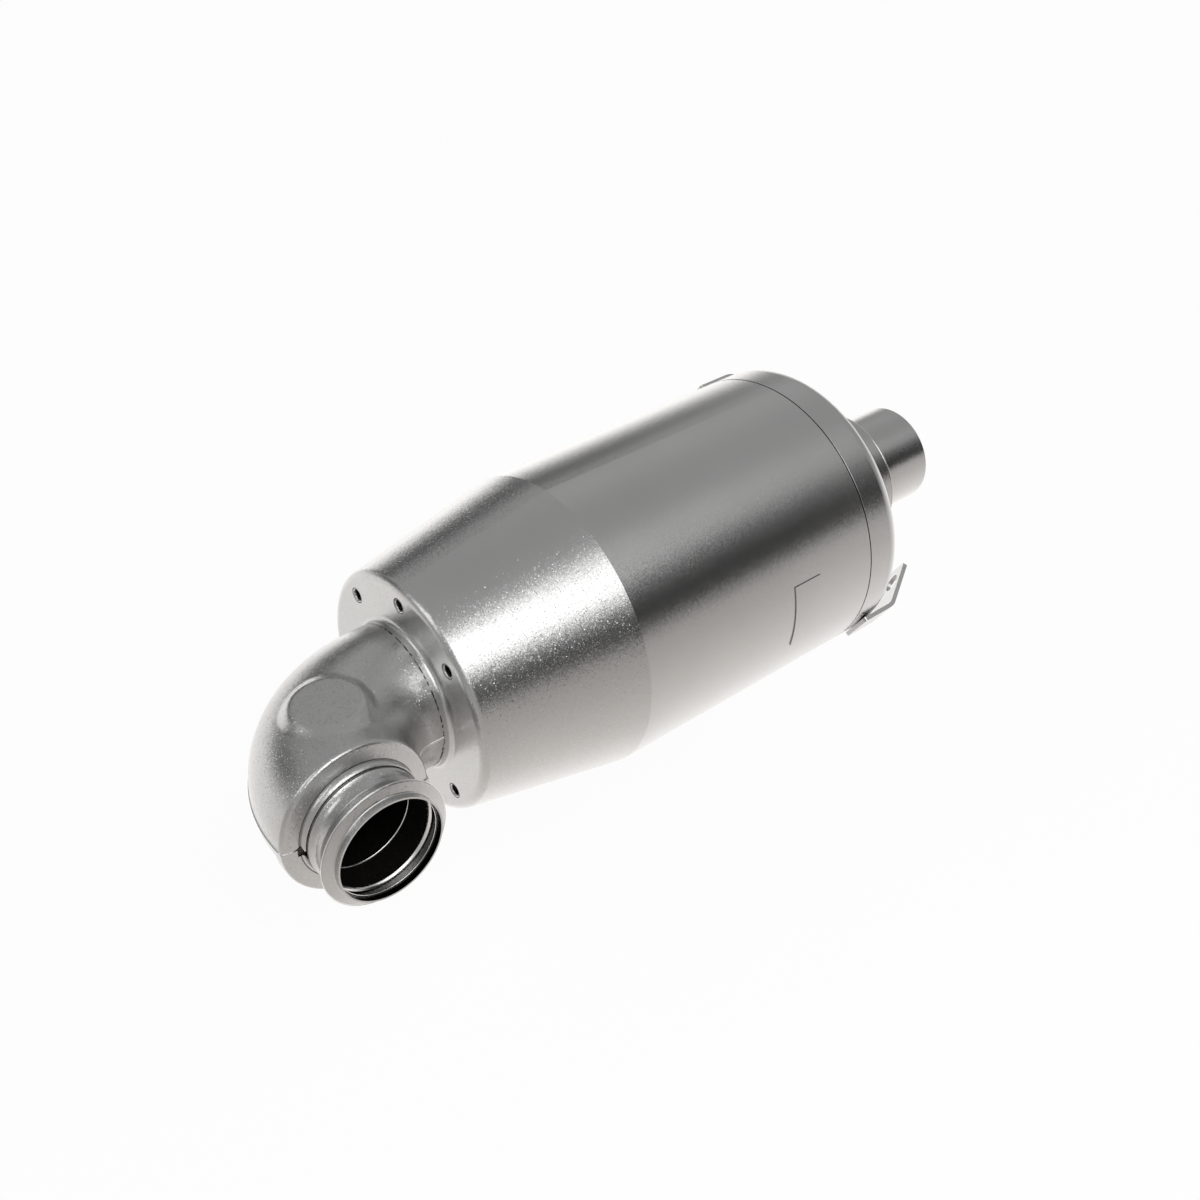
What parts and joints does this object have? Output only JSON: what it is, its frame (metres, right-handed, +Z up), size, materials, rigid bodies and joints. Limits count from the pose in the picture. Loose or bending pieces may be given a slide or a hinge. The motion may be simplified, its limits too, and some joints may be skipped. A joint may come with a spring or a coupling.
{
  "type": "scr catalytic converter",
  "caption": "Round insulated catalytic converter can with a cone and elbow inlet, clamp flange, outlet pipe and two strap brackets.",
  "frame": {"origin": "centre of the outlet pipe's open end, on the can's axis", "axes": "+X points out of the outlet pipe along the can's axis, the inlet neck points along -Y, +Z is up"},
  "size_m": [0.9445, 0.3405, 0.332],
  "materials": {
    "can_skin": "satin stainless sheet, brushed round the can",
    "cone_skin": "pressed stainless sheet with a fine sparkle",
    "neck_skin": "formed stainless tube, satin",
    "pipe_skin": "drawn stainless tube, satin",
    "inner_steel": "plain stainless sheet, slightly dull",
    "bracket_steel": "thick stainless strap, sheared edges",
    "plate_steel": "thin bare stainless plate",
    "brick": "coated honeycomb, matt ochre",
    "mat": "pressed ceramic fibre mat",
    "blanket": "glass fibre insulation blanket"
  },
  "bodies": {
    "root": {"can_shell": "can_skin", "inlet_cone": "cone_skin", "outlet_cap": "can_skin", "outlet_collar": "can_skin", "outlet_pipe": "pipe_skin", "elbow_shell_upper": "cone_skin", "elbow_shell_lower": "cone_skin", "mouth_ring": "cone_skin", "elbow_pipe": "inner_steel", "inlet_sleeve": "inner_steel", "inlet_flange": "neck_skin", "elbow_blanket_upper": "blanket", "elbow_blanket_lower": "blanket", "inner_can": "inner_steel", "diffuser_cone": "inner_steel", "flow_plate": "inner_steel", "scr_brick_front": "brick", "scr_brick_rear": "brick", "slip_brick": "brick", "brick_mat_front": "mat", "brick_mat_rear": "mat", "brick_mat_slip": "mat", "outlet_reducer": "inner_steel", "front_ring": "inner_steel", "rear_ring": "inner_steel", "can_blanket": "blanket", "cone_blanket": "blanket", "cap_blanket": "blanket", "neck_blanket": "blanket", "lower_bracket": "bracket_steel", "upper_bracket": "bracket_steel", "name_plate": "plate_steel"}
  },
  "joints": []
}
